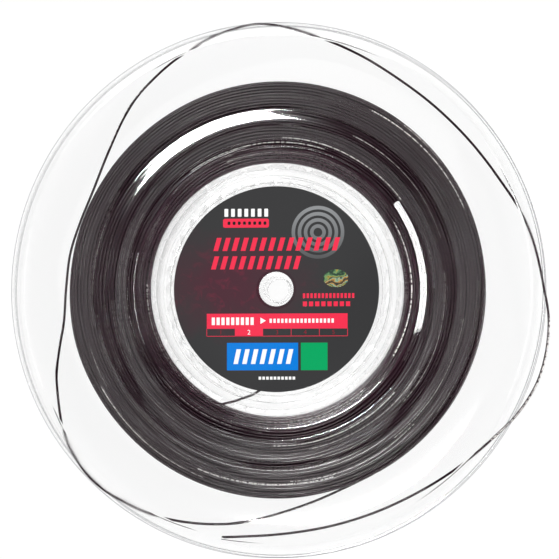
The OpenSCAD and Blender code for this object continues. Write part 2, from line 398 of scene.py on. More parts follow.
@dataclass(frozen=True)
class LabelFilm:
    """Printed and laminated film: smooth charcoal with a smoky maroon cloud over its left and middle."""

    charcoal: str = "#333334"
    maroon: str = "#462731"
    glow: str = "#6A2638"
    ior: float = 1.5
    roughness: float = 0.06
    gloss: float = 0.15            # of the full reflection: a satin laminate
    cloud_x: float = -22.6         # the cloud's middle on the label
    cloud_y: float = 2.07
    cloud_w: float = 23.81         # its half width and half height where its edge was plain
    cloud_h: float = 17.24
    cloud_rag: float = 1.5         # how far the smoke pulls the cloud's edge about
    cloud_full: float = 1.1        # where the cloud is full, and where it has faded out
    cloud_none: float = 2.6
    wisp_mm: float = 6.667         # spacing of the brighter wisps in it
    wisp_none: float = 0.55
    wisp_full: float = 0.9
    grain_mm: float = 0.4          # the film's skin, drawn as coarse as it needs to show
    grain_depth_mm: float = 0.05
    grain_share: float = 0.05      # share of that depth that the bump takes

    def make(self) -> bpy.types.Material:
        """Builds the label's ground from soft clouds in the label's own place.

        Returns:
            The material.
        """
        finish, tree, shader, _ = new_finish("label_film")
        place = add_node(tree, "ShaderNodeTexCoord")
        smoke = add_node(tree, "ShaderNodeTexNoise", {"Vector": place.outputs["Object"],
                                                      "Scale": 1 / (self.cloud_w * MM), "Detail": 4.0,
                                                      "Distortion": 0.6})
        shift = (-self.cloud_x / self.cloud_w, -self.cloud_y / self.cloud_h, 0)
        centred = add_node(tree, "ShaderNodeMapping",
                           {"Vector": place.outputs["Object"], "Location": shift,
                            "Scale": (1 / (self.cloud_w * MM), 1 / (self.cloud_h * MM), 1)})
        flat = add_node(tree, "ShaderNodeVectorMath", {0: centred.outputs[0], 1: (1, 1, 0)},
                        operation="MULTIPLY")
        away = add_node(tree, "ShaderNodeVectorMath", {0: flat.outputs[0]}, operation="LENGTH")
        ragged = add_node(tree, "ShaderNodeMath", {0: smoke.outputs["Fac"], 1: self.cloud_rag,
                                                   2: away.outputs["Value"]}, operation="MULTIPLY_ADD")
        cloud = add_node(tree, "ShaderNodeMapRange", {"Value": ragged.outputs[0], "From Min": self.cloud_none,
                                                      "From Max": self.cloud_full})
        ground = add_node(tree, "ShaderNodeMix", {"Factor": cloud.outputs[0], "A": linear(self.charcoal),
                                                  "B": linear(self.maroon)}, data_type="RGBA")
        wisps = add_node(tree, "ShaderNodeTexNoise", {"Vector": place.outputs["Object"],
                                                      "Scale": 1 / (self.wisp_mm * MM), "Detail": 3.0,
                                                      "Distortion": 1.5})
        wisp = add_node(tree, "ShaderNodeMapRange", {"Value": wisps.outputs["Fac"],
                                                     "From Min": self.wisp_none,
                                                     "From Max": self.wisp_full})
        lit = add_node(tree, "ShaderNodeMath", {0: wisp.outputs[0], 1: cloud.outputs[0]},
                       operation="MULTIPLY")
        colour = add_node(tree, "ShaderNodeMix", {"Factor": lit.outputs[0], "A": ground.outputs["Result"],
                                                  "B": linear(self.glow)}, data_type="RGBA")
        grain = add_node(tree, "ShaderNodeTexNoise", {"Vector": place.outputs["Object"],
                                                      "Scale": 1 / (self.grain_mm * MM)})
        bump = add_node(tree, "ShaderNodeBump", {"Height": grain.outputs["Fac"],
                                                 "Strength": self.grain_share,
                                                 "Distance": self.grain_depth_mm * MM})
        tree.links.new(bump.outputs["Normal"], shader.inputs["Normal"])
        tree.links.new(colour.outputs["Result"], shader.inputs["Base Color"])
        shader.inputs["Roughness"].default_value = self.roughness
        shader.inputs["IOR"].default_value = self.ior
        shader.inputs["Specular IOR Level"].default_value = self.gloss
        return finish


@dataclass(frozen=True)
class PrintInk:
    """Ink under the label's laminate: flat, with a little mottle where the ink is thin."""

    name: str
    full: str
    thin: str
    roughness: float = 0.06
    gloss: float = 0.15
    mottle_mm: float = 0.5

    def make(self) -> bpy.types.Material:
        """Builds one ink.

        Returns:
            The material.
        """
        finish, tree, shader, _ = new_finish(self.name)
        place = add_node(tree, "ShaderNodeTexCoord")
        mottle = add_node(tree, "ShaderNodeTexNoise", {"Vector": place.outputs["Object"],
                                                       "Scale": 1 / (self.mottle_mm * MM)})
        colour = add_node(tree, "ShaderNodeMix", {"Factor": mottle.outputs["Fac"], "A": linear(self.thin),
                                                  "B": linear(self.full)}, data_type="RGBA")
        tree.links.new(colour.outputs["Result"], shader.inputs["Base Color"])
        shader.inputs["Roughness"].default_value = self.roughness
        shader.inputs["Specular IOR Level"].default_value = self.gloss
        return finish


@dataclass(frozen=True)
class FadingInk:
    """Grey half-tone ink that fades into the label's ground towards its lower end."""

    bright: str = "#848688"
    faded: str = "#363637"
    top_mm: float = 40.0
    low_mm: float = 9.0
    roughness: float = 0.06
    gloss: float = 0.15

    def make(self) -> bpy.types.Material:
        """Builds the half-tone from the height on the label.

        Returns:
            The material.
        """
        finish, tree, shader, _ = new_finish("half_tone_ink")
        place = add_node(tree, "ShaderNodeTexCoord")
        parts = add_node(tree, "ShaderNodeSeparateXYZ", {0: place.outputs["Object"]})
        depth = add_node(tree, "ShaderNodeMapRange", {"Value": parts.outputs["Y"],
                                                      "From Min": self.low_mm * MM,
                                                      "From Max": self.top_mm * MM})
        colour = add_node(tree, "ShaderNodeMix", {"Factor": depth.outputs[0], "A": linear(self.faded),
                                                  "B": linear(self.bright)}, data_type="RGBA")
        tree.links.new(colour.outputs["Result"], shader.inputs["Base Color"])
        shader.inputs["Roughness"].default_value = self.roughness
        shader.inputs["Specular IOR Level"].default_value = self.gloss
        return finish


@dataclass(frozen=True)
class SealFoil:
    """Embossed hologram foil: metal that breaks light into green, gold and dark bands."""

    colours: tuple[str, ...] = ("#20372A", "#5F8A5A", "#9A8A3A", "#2A2A24", "#7FA58A", "#B0803A", "#26302A")
    band_mm: float = 8.17          # pitch of the wave before it is bent; all the colours fit in it
    wave_radians: float = 20.0     # what the wave texture runs through in one unit
    metallic: float = 0.55         # part of the foil is under clear lacquer
    roughness: float = 0.1

    def make(self) -> bpy.types.Material:
        """Builds the foil from wavy bands across its height.

        Returns:
            The material.
        """
        finish, tree, shader, _ = new_finish("seal_foil")
        place = add_node(tree, "ShaderNodeTexCoord")
        wave = add_node(tree, "ShaderNodeTexWave",
                        {"Vector": place.outputs["Object"],
                         "Scale": 2 * math.pi / (self.band_mm * MM * self.wave_radians),
                         "Distortion": 5.0, "Detail": 3.0, "Detail Scale": 4.0}, bands_direction="Y")
        ramp = add_node(tree, "ShaderNodeValToRGB", {"Fac": wave.outputs["Fac"]})
        stops = ramp.color_ramp.elements
        stops[0].color = linear(self.colours[0])
        stops[1].color = linear(self.colours[-1])
        for i, code in enumerate(self.colours[1:-1], start=1):
            stops.new(i / (len(self.colours) - 1)).color = linear(code)
        tree.links.new(ramp.outputs["Color"], shader.inputs["Base Color"])
        shader.inputs["Metallic"].default_value = self.metallic
        shader.inputs["Roughness"].default_value = self.roughness
        return finish


@dataclass(frozen=True)
class PaleGround:
    """Matt white paper that shows as plain white, with the reel's soft shadow on it."""

    paper: str = "#FFFFFF"
    roughness: float = 0.9
    tooth_mm: float = 1.111        # the paper's tooth, drawn coarse
    tooth_depth_mm: float = 0.1
    tooth_share: float = 0.05      # share of that depth that the bump takes
    glow_share: float = 0.93       # share of plain white; the rest is the lit paper with its shadow

    def make(self) -> bpy.types.Material:
        """Builds the ground. Only camera, glossy and transmission rays see the plain white.

        Returns:
            The material.
        """
        finish, tree, shader, output = new_finish("pale_ground")
        place = add_node(tree, "ShaderNodeTexCoord")
        tooth = add_node(tree, "ShaderNodeTexNoise", {"Vector": place.outputs["Object"],
                                                      "Scale": 1 / (self.tooth_mm * MM)})
        bump = add_node(tree, "ShaderNodeBump", {"Height": tooth.outputs["Fac"],
                                                 "Strength": self.tooth_share,
                                                 "Distance": self.tooth_depth_mm * MM})
        tree.links.new(bump.outputs["Normal"], shader.inputs["Normal"])
        shader.inputs["Base Color"].default_value = linear(self.paper)
        shader.inputs["Roughness"].default_value = self.roughness
        rays = add_node(tree, "ShaderNodeLightPath")
        seen = add_node(tree, "ShaderNodeMath", {0: rays.outputs["Is Camera Ray"],
                                                 1: rays.outputs["Is Glossy Ray"]}, operation="MAXIMUM")
        seen = add_node(tree, "ShaderNodeMath", {0: seen.outputs[0], 1: rays.outputs["Is Transmission Ray"]},
                        operation="MAXIMUM")
        share = add_node(tree, "ShaderNodeMath", {0: seen.outputs[0], 1: self.glow_share},
                         operation="MULTIPLY")
        white = add_node(tree, "ShaderNodeEmission", {"Color": linear(self.paper), "Strength": 1.0})
        mixed = add_node(tree, "ShaderNodeMixShader", {0: share.outputs[0], 1: shader.outputs[0],
                                                       2: white.outputs[0]})
        tree.links.new(mixed.outputs[0], output.inputs["Surface"])
        return finish


# ---------------------------------------------------------------- studio


@dataclass(frozen=True)
class Softbox:
    """A rectangular area lamp that faces the reel.

    bearing, lean and turn are degrees: round the axis from +X, off the vertical, and round its own middle.
    distance, wide and high are metres, and radiance is what a mirror shows of it, where 1 is white.
    """

    name: str
    bearing: float
    lean: float
    distance: float
    wide: float
    high: float
    radiance: float
    turn: float = 0.0

    def make(self) -> bpy.types.Object:
        """Builds the lamp. Its wattage comes from its radiance and its area.

        Returns:
            The lamp's object.
        """
        lamp = bpy.data.lights.new(self.name, "AREA")
        lamp.shape = "RECTANGLE"
        lamp.size = self.wide
        lamp.size_y = self.high
        lamp.energy = math.pi * self.wide * self.high * self.radiance
        made = bpy.data.objects.new(self.name, lamp)
        b, a = math.radians(self.bearing), math.radians(self.lean)
        way = Vector((math.sin(a) * math.cos(b), math.sin(a) * math.sin(b), math.cos(a)))
        made.location = way * self.distance
        facing = way.to_track_quat("Z", "Y") @ Quaternion((0, 0, 1), math.radians(self.turn))
        made.rotation_euler = facing.to_euler()
        bpy.context.scene.collection.objects.link(made)
        return made


@dataclass
class Studio:
    """Camera, ground, lamps and the dim room round them. Lengths are millimetres."""

    distance: float = 2200.0           # from the point that the camera looks at
    aim: Place = (1.37, 4.94, 19.0)
    tilt: float = 6.03                 # degrees off the reel's axis
    azimuth: float = -28.3             # the side to which the camera leans
    sensor: float = 36.0
    frame_mm: float = 281.2            # width of the frame at the aim point
    far_clip: float = 20000.0
    ground_side: float = 6000.0
    ground_gap: float = 0.2            # the ground lies this far under the reel
    room_grey: float = 0.12            # what lights the matt surfaces
    room_dark: float = 0.03            # what the glossy ones reflect
    room_pale: float = 0.15            # what clear edges show from the side
    # Name, bearing, lean, distance, width, height and radiance
    softboxes: tuple[Softbox, ...] = (
        Softbox("softbox_over", 249, 5.3, 2.9, 0.3, 0.35, 128.0, turn=45),
        Softbox("softbox_right", 8, 56, 2.6, 2.8, 0.3, 24.0),
        Softbox("softbox_left", 180, 59, 2.6, 1.4, 0.2, 24.0),
        Softbox("softbox_top", 88, 55, 2.6, 1.1, 0.15, 8.0),
        Softbox("dim_panel", 130.5, 7.06, 2.62, 0.46, 0.21, 0.8, turn=9.5),
    )

    def camera(self) -> bpy.types.Object:
        """Sets the camera up and makes it the scene's camera.

        Returns:
            The camera's object.
        """
        t, a = math.radians(self.tilt), math.radians(self.azimuth)
        back = Vector((math.sin(t) * math.cos(a), math.sin(t) * math.sin(a), math.cos(t)))
        right = Vector((0, 1, 0)).cross(back).normalized()
        up = back.cross(right)
        lens = bpy.data.cameras.new("studio_camera")
        lens.sensor_width = self.sensor
        lens.lens = self.sensor * self.distance / self.frame_mm
        lens.clip_end = self.far_clip * MM
        made = bpy.data.objects.new("studio_camera", lens)
        turned = Matrix((right, up, back)).transposed().to_4x4()
        made.matrix_world = Matrix.Translation((Vector(self.aim) + back * self.distance) * MM) @ turned
        bpy.context.scene.collection.objects.link(made)
        bpy.context.scene.camera = made
        return made

    def ground(self) -> bpy.types.Object:
        """Lays the pale ground a hair under the reel.

        Returns:
            The ground's object.
        """
        half, low = self.ground_side / 2, -self.ground_gap
        floor = mesh_object("pale_ground", [(-half, -half, low), (half, -half, low), (half, half, low),
                                            (-half, half, low)], [(0, 1, 2, 3)])
        floor.data.materials.append(PaleGround().make())
        return floor

    def room(self) -> None:
        """Fills the room with dim grey, and with white where a plain view looks past the ground."""
        world = bpy.data.worlds.new("studio_room")
        bpy.context.scene.world = world
        world.use_nodes = True
        tree = world.node_tree
        tree.nodes.clear()
        rays = add_node(tree, "ShaderNodeLightPath")
        shown = add_node(tree, "ShaderNodeBackground", {"Color": (1, 1, 1, 1), "Strength": self.room_grey})
        for ray, level in (("Is Glossy Ray", self.room_dark), ("Is Transmission Ray", self.room_pale),
                           ("Is Camera Ray", 1.0)):
            seen = add_node(tree, "ShaderNodeBackground", {"Color": (1, 1, 1, 1), "Strength": level})
            shown = add_node(tree, "ShaderNodeMixShader", {0: rays.outputs[ray], 1: shown.outputs[0],
                                                           2: seen.outputs[0]})
        add_node(tree, "ShaderNodeOutputWorld", {"Surface": shown.outputs[0]})

    def light(self) -> None:
        """Hangs every softbox."""
        for softbox in self.softboxes:
            softbox.make()


# ---------------------------------------------------------------- string


@dataclass
class LooseString:
    """The string outside its winding: the loose end round the reel, and its start through the hub's slots."""

    diameter: float = 1.25
    mid: float = 11.0                  # height of the plane midway between the flanges
    lay: float = 6.01                  # the outer layer's height over that plane
    lay_r: float = 104.375             # radius of that layer round the winding's outside
    first_r: float = 65.15             # where the winding begins
    first_bearing: float = -121.0
    last_bearing: float = -62.0        # where it lets go of the loose end
    last_height: float = 4.99
    turn_step: float = 3.6             # degrees over which the winding's direction is taken at both places
    first_growth: float = 0.02         # growth of its radius over that step
    last_fall: float = 0.026           # fall of its height over that step
    sides: int = 12
    step: float = 2.5                  # length of the tube's pieces
    crease: float = 50.0               # edges sharper than this many degrees stay sharp
    # Bearing, radius and height of the points that the loose end follows
    tail_route: tuple[Place, ...] = (
        (-80, 108, 4), (-96, 116.5, 4), (-107, 123, 4.5), (-116, 128, 5.5), (-122, 131, 8),
        (-127, 132.5, 10.6), (-131, 134, 10.6), (-136, 134.5, 10.6), (-141, 133, 10.6), (-147, 130, 8.5),
        (-160, 120, 4.5), (-172, 110.5, 4), (-190, 108, 4), (-208, 107.5, 4), (-228, 118, 4.2),
        (-239, 124.5, 5), (-248, 129, 7.5), (-256, 133, 10.6), (-265, 135.5, 10.6), (-273, 132.5, 10.6),
        (-281, 128.5, 7.5), (-292, 124.5, 4.6), (-308, 121.5, 4.3), (-322, 122, 4.3), (-334, 124.5, 5),
        (-344, 129, 8), (-352, 131.5, 10.4), (-360, 134, 10.7), (-366, 137, 10.6), (-373, 138.5, 9.8),
        (-380, 138.5, 9.8), (-387, 136, 10.6), (-392, 133, 10.6), (-401, 128.5, 7.5), (-412, 124.5, 4.8),
        (-425, 122, 4.3), (-438, 121.5, 4.3), (-451, 123, 4.5), (-463, 127.5, 5))
    start_route: tuple[Point, ...] = ((-98, 50), (-101, 52.5), (-104, 55), (-107, 57), (-111, 60.2),
                                      (-113.5, 62.1), (-116, 64.2))

    def ways(self) -> tuple[Vector, Vector, Vector, Vector]:
        """Finds where the winding begins and where it lets go.

        Returns:
            The first place and the direction there, the last place and the direction there.
        """
        high = self.mid + self.lay
        first = spot(self.first_bearing, self.first_r, high)
        after = spot(self.first_bearing - self.turn_step, self.first_r + self.first_growth, high)
        last = spot(self.last_bearing, self.lay_r, self.last_height)
        before = spot(self.last_bearing + self.turn_step, self.lay_r, self.last_height + self.last_fall)
        return first, (after - first).normalized(), last, (last - before).normalized()

    def tail_points(self) -> list[Vector]:
        """Lays the loose end.

        Returns:
            Its points, with one more smooth point between each two of the route.
        """
        _, _, last, way = self.ways()
        leave = last + way * self.diameter
        p = [leave + way * self.diameter] + [spot(*place) for place in self.tail_route]

        def tangent(i: int) -> Vector:
            """Direction of the line at one point, by the step between its neighbours."""
            low, high = max(i - 1, 0), min(i + 1, len(p) - 1)
            return (p[high] - p[low]) / (high - low)

        line = [leave]
        for i in range(len(p) - 1):
            line += [p[i], (p[i] + p[i + 1]) / 2 + (tangent(i) - tangent(i + 1)) / 8]
        return line + [p[-1]]

    def start_points(self) -> list[Vector]:
        """Lays the string's start.

        Returns:
            Its points, from inside the hub to the winding's first turn.
        """
        first, way, _, _ = self.ways()
        root = first - way * self.diameter
        inside = [spot(bearing, r, self.mid + self.lay) for bearing, r in self.start_route]
        return inside + [root - way * self.diameter, root]

    def tube_form(self) -> bpy.types.NodeTree:
        """Builds the tree that sweeps the string's round section along a line.

        Returns:
            The tree.
        """
        tree, given = new_form("string_along_line", {"Diameter": "NodeSocketFloat", "Sides": "NodeSocketInt",
                                                     "Step": "NodeSocketFloat",
                                                     "Finish": "NodeSocketMaterial"})
        line = add_node(tree, "GeometryNodeMeshToCurve", {"Mesh": given.outputs["Geometry"]})
        fair = add_node(tree, "GeometryNodeCurveSplineType", {"Curve": line.outputs[0]},
                        spline_type="CATMULL_ROM")
        even = add_node(tree, "GeometryNodeResampleCurve", {"Curve": fair.outputs[0],
                                                            "Length": given.outputs["Step"]}, mode="LENGTH")
        upright = add_node(tree, "GeometryNodeSetCurveNormal", {"Curve": even.outputs[0]}, mode="Z_UP")
        end_form(tree, swept(tree, upright.outputs[0], given), given.outputs["Finish"])
        return tree

    def make(self, finish: bpy.types.Material) -> tuple[bpy.types.Object, bpy.types.Object]:
        """Makes both tubes and says in the log how many faces each has.

        Args:
            finish: the string's finish.

        Returns:
            The loose end and the start.
        """
        tree = self.tube_form()
        line = self.tail_points()
        made = []
        for name, points in (("loose_string_end", line), ("string_start_run", self.start_points())):
            steps = [(i, i + 1) for i in range(len(points) - 1)]
            piece = mesh_object(name, [tuple(point) for point in points], [], steps)
            made.append(formed(piece, tree, {"Diameter": self.diameter * MM, "Sides": self.sides,
                                             "Step": self.step * MM, "Finish": finish}))
            smooth(piece, self.crease)
        tail, start = made
        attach(tail, "root")
        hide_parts("string_tail")
        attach(start, "root")
        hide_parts("string_start")
        report(tail)
        report(start)
        return tail, start


def swept(tree: bpy.types.NodeTree, line: bpy.types.NodeSocket,
          given: bpy.types.Node) -> bpy.types.NodeSocket:
    """Sweeps the string's section along a curve and keeps its place along and round the string.

    Args:
        tree: the Geometry Nodes tree.
        line: the curve.
        given: the tree's inputs, with Diameter and Sides among them.

    Returns:
        The tube's geometry, with the attributes along_mm and around.
    """
    run = add_node(tree, "GeometryNodeSplineParameter")
    metres = add_node(tree, "ShaderNodeMath", {0: run.outputs["Length"], 1: 1 / MM}, operation="MULTIPLY")
    marked = add_node(tree, "GeometryNodeStoreNamedAttribute", {"Geometry": line, "Name": "along_mm",
                                                                "Value": metres.outputs[0]})
    radius = add_node(tree, "ShaderNodeMath", {0: given.outputs["Diameter"], 1: 0.5}, operation="MULTIPLY")
    ring = add_node(tree, "GeometryNodeCurvePrimitiveCircle", {"Resolution": given.outputs["Sides"],
                                                               "Radius": radius.outputs[0]})
    ringed = add_node(tree, "GeometryNodeStoreNamedAttribute", {"Geometry": ring.outputs[0], "Name": "around",
                                                                "Value": run.outputs["Factor"]})
    tube = add_node(tree, "GeometryNodeCurveToMesh", {"Curve": marked.outputs[0],
                                                      "Profile Curve": ringed.outputs[0], "Fill Caps": True})
    return tube.outputs[0]


@dataclass(frozen=True)
class Turns:
    """One unbroken run of turns: a spiral across a face of the winding, and then round its outside.

    Radii and heights are of the string's middle line. wander is how far the turns stray sideways, lift how
    far up or down, and bundle how fast both change from one turn to the next.
    """

    name: str
    face_turns: float
    all_turns: float
    first_r: float
    last_r: float
    first_height: float
    last_height: float
    start_bearing: float
    wander: float
    lift: float
    bundle: float
    seed: float
    per_turn: int = 120
    sides: int = 6


@dataclass
class Winding:
    """The wound string: turns over both faces and the outside, on the dark body of the turns below."""

    string: LooseString
    face_turns: float = 26.0           # turns of the outer run over the front face
    side_turns: float = 9.0            # turns of it round the outside, less the last part turn
    under_drop: float = 1.1            # the layer below it lies this much lower
    stray_scale: float = 1.15          # waves of the straying sideways round a turn, and of the lift
    lift_scale: float = 5.0
    fade_turns: float = 0.7            # the straying fades out over this much of a turn at both ends
    lift_offset: float = 40.0          # keeps the lift's noise apart from that of the straying
    core_low: float = 5.6
    core_high: float = 15.6
    core_in_r: float = 63.9
    core_out_r: float = 103.2
    core_edge: float = 1.0
    core_sides: int = 256
    crease: float = 60.0               # edges sharper than this many degrees stay sharp

    def runs(self) -> tuple[Turns, ...]:
        """Lists the runs of turns that show.

        Returns:
            The upper front layer with the outside, the layer below it and the rear face.
        """
        s = self.string
        top, under, rear = s.mid + s.lay, s.mid + s.lay - self.under_drop, s.mid - s.lay
        part_turn = (s.first_bearing - s.last_bearing + 360) / 360
        return (
            Turns("outer_turns", self.face_turns, self.face_turns + self.side_turns + part_turn,
                  first_r=s.first_r, last_r=s.lay_r, first_height=top, last_height=s.last_height,
                  start_bearing=s.first_bearing, wander=2.4, lift=0.7, bundle=0.11, seed=3.7,
                  per_turn=150, sides=8),
            Turns("under_turns", 31, 31, first_r=65.0, last_r=103.4, first_height=under, last_height=under,
                  start_bearing=40.0, wander=1.6, lift=0.2, bundle=0.05, seed=11.3),
            Turns("rear_turns", 30, 30, first_r=64.9, last_r=103.6, first_height=rear, last_height=rear,
                  start_bearing=160.0, wander=1.4, lift=0.2, bundle=0.08, seed=27.1),
        )

    def form(self) -> bpy.types.NodeTree:
        """Builds the tree that lays one run of turns by rule and sweeps the string along it.

        Returns:
            The tree.
        """
        floats = ("Face turns", "All turns", "First radius", "Last radius", "First height", "Last height",
                  "Start bearing", "Wander", "Lift", "Bundle", "Seed", "Diameter")
        sockets = {name: "NodeSocketFloat" for name in floats}
        sockets |= {"Points": "NodeSocketInt", "Per turn": "NodeSocketInt", "Sides": "NodeSocketInt",
                    "Finish": "NodeSocketMaterial"}
        tree, given = new_form("turns_of_string", sockets)
        take = given.outputs
        row = add_node(tree, "GeometryNodeMeshLine", {"Count": take["Points"], "Offset": (0, 0, MM)})
        line = add_node(tree, "GeometryNodeMeshToCurve", {"Mesh": row.outputs[0]})
        index = add_node(tree, "GeometryNodeInputIndex")
        turn = add_node(tree, "ShaderNodeMath", {0: index.outputs[0], 1: take["Per turn"]},
                        operation="DIVIDE").outputs[0]
        swing = add_node(tree, "ShaderNodeMath", {0: turn, 1: -2 * math.pi}, operation="MULTIPLY")
        angle = add_node(tree, "ShaderNodeMath", {0: swing.outputs[0], 1: take["Start bearing"]},
                         operation="ADD").outputs[0]
        cosine = add_node(tree, "ShaderNodeMath", {0: angle}, operation="COSINE").outputs[0]
        sine = add_node(tree, "ShaderNodeMath", {0: angle}, operation="SINE").outputs[0]
        base_r = add_node(tree, "ShaderNodeMapRange",
                          {"Value": turn, "From Min": 0.0, "From Max": take["Face turns"],
                           "To Min": take["First radius"], "To Max": take["Last radius"]}).outputs[0]
        base_z = add_node(tree, "ShaderNodeMapRange",
                          {"Value": turn, "From Min": take["Face turns"], "From Max": take["All turns"],
                           "To Min": take["First height"], "To Max": take["Last height"]}).outputs[0]
        # The straying fades out at both ends, where the run meets the loose string
        begun = add_node(tree, "ShaderNodeMapRange", {"Value": turn, "From Min": 0.0,
                                                      "From Max": self.fade_turns}).outputs[0]
        left = add_node(tree, "ShaderNodeMath", {0: take["All turns"], 1: turn}, operation="SUBTRACT")
        ending = add_node(tree, "ShaderNodeMapRange", {"Value": left.outputs[0], "From Min": 0.0,
                                                       "From Max": self.fade_turns}).outputs[0]
        held = add_node(tree, "ShaderNodeMath", {0: begun, 1: ending}, operation="MULTIPLY").outputs[0]
        drift = add_node(tree, "ShaderNodeMath", {0: turn, 1: take["Bundle"], 2: take["Seed"]},
                         operation="MULTIPLY_ADD").outputs[0]
        where = add_node(tree, "ShaderNodeCombineXYZ", {0: cosine, 1: sine, 2: drift}).outputs[0]
        strayed = []
        for amount, base, offset, scale in ((take["Wander"], base_r, 0.0, self.stray_scale),
                                            (take["Lift"], base_z, self.lift_offset, self.lift_scale)):
            moved = add_node(tree, "ShaderNodeVectorMath", {0: where, 1: (offset, 0, 0)}, operation="ADD")
            noise = add_node(tree, "ShaderNodeTexNoise", {"Vector": moved.outputs[0], "Scale": scale,
                                                          "Detail": 1.0})
            level = add_node(tree, "ShaderNodeMath", {0: noise.outputs["Fac"], 1: 0.5}, operation="SUBTRACT")
            scaled = add_node(tree, "ShaderNodeMath", {0: level.outputs[0], 1: amount}, operation="MULTIPLY")
            faded = add_node(tree, "ShaderNodeMath", {0: scaled.outputs[0], 1: held, 2: base},
                             operation="MULTIPLY_ADD")
            strayed.append(faded.outputs[0])
        east = add_node(tree, "ShaderNodeMath", {0: strayed[0], 1: cosine}, operation="MULTIPLY")
        north = add_node(tree, "ShaderNodeMath", {0: strayed[0], 1: sine}, operation="MULTIPLY")
        laid = add_node(tree, "ShaderNodeCombineXYZ", {0: east.outputs[0], 1: north.outputs[0],
                                                       2: strayed[1]})
        path = add_node(tree, "GeometryNodeSetPosition", {"Geometry": line.outputs[0],
                                                          "Position": laid.outputs[0]})
        upright = add_node(tree, "GeometryNodeSetCurveNormal", {"Curve": path.outputs[0]}, mode="Z_UP")
        end_form(tree, swept(tree, upright.outputs[0], given), take["Finish"])
        return tree

    def core(self, finish: bpy.types.Material) -> bpy.types.Object:
        """Makes the body of the turns that lie below the outer ones, with its outer edges broken.

        Args:
            finish: the string's finish.

        Returns:
            The body.
        """
        low, high, inner, outer = self.core_low, self.core_high, self.core_in_r, self.core_out_r
        edge = self.core_edge
        line = [(inner, low), (outer - edge, low), (outer, low + edge), (outer, high - edge),
                (outer - edge, high), (inner, high)]
        piece = revolved("wound_body", line, self.core_sides)
        piece.data.materials.append(finish)
        smooth(piece)
        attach(piece, "root")
        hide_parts("winding_core")
        report(piece)
        return piece

    def make(self, finish: bpy.types.Material) -> list[bpy.types.Object]:
        """Makes every run of turns and the body below them.

        Args:
            finish: the string's finish.

        Returns:
            The runs and the body.
        """
        tree = self.form()
        made = []
        for run in self.runs():
            piece = mesh_object(run.name, [(0, 0, 0)], [])
            formed(piece, tree, {
                "Face turns": run.face_turns, "All turns": run.all_turns, "First radius": run.first_r * MM,
                "Last radius": run.last_r * MM, "First height": run.first_height * MM,
                "Last height": run.last_height * MM, "Start bearing": math.radians(run.start_bearing),
                "Wander": run.wander * MM, "Lift": run.lift * MM, "Bundle": run.bundle, "Seed": run.seed,
                "Diameter": self.string.diameter * MM, "Points": round(run.all_turns * run.per_turn) + 1,
                "Per turn": run.per_turn, "Sides": run.sides, "Finish": finish})
            smooth(piece, self.crease)
            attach(piece, "root")
            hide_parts("string_winding")
            report(piece)
            made.append(piece)
        return made + [self.core(finish)]


# ---------------------------------------------------------------- flanges


class Side(Enum):
    """Which of the two mouldings a flange is: its sign turns heights over, from the middle plane."""

    FRONT = 1.0
    REAR = -1.0


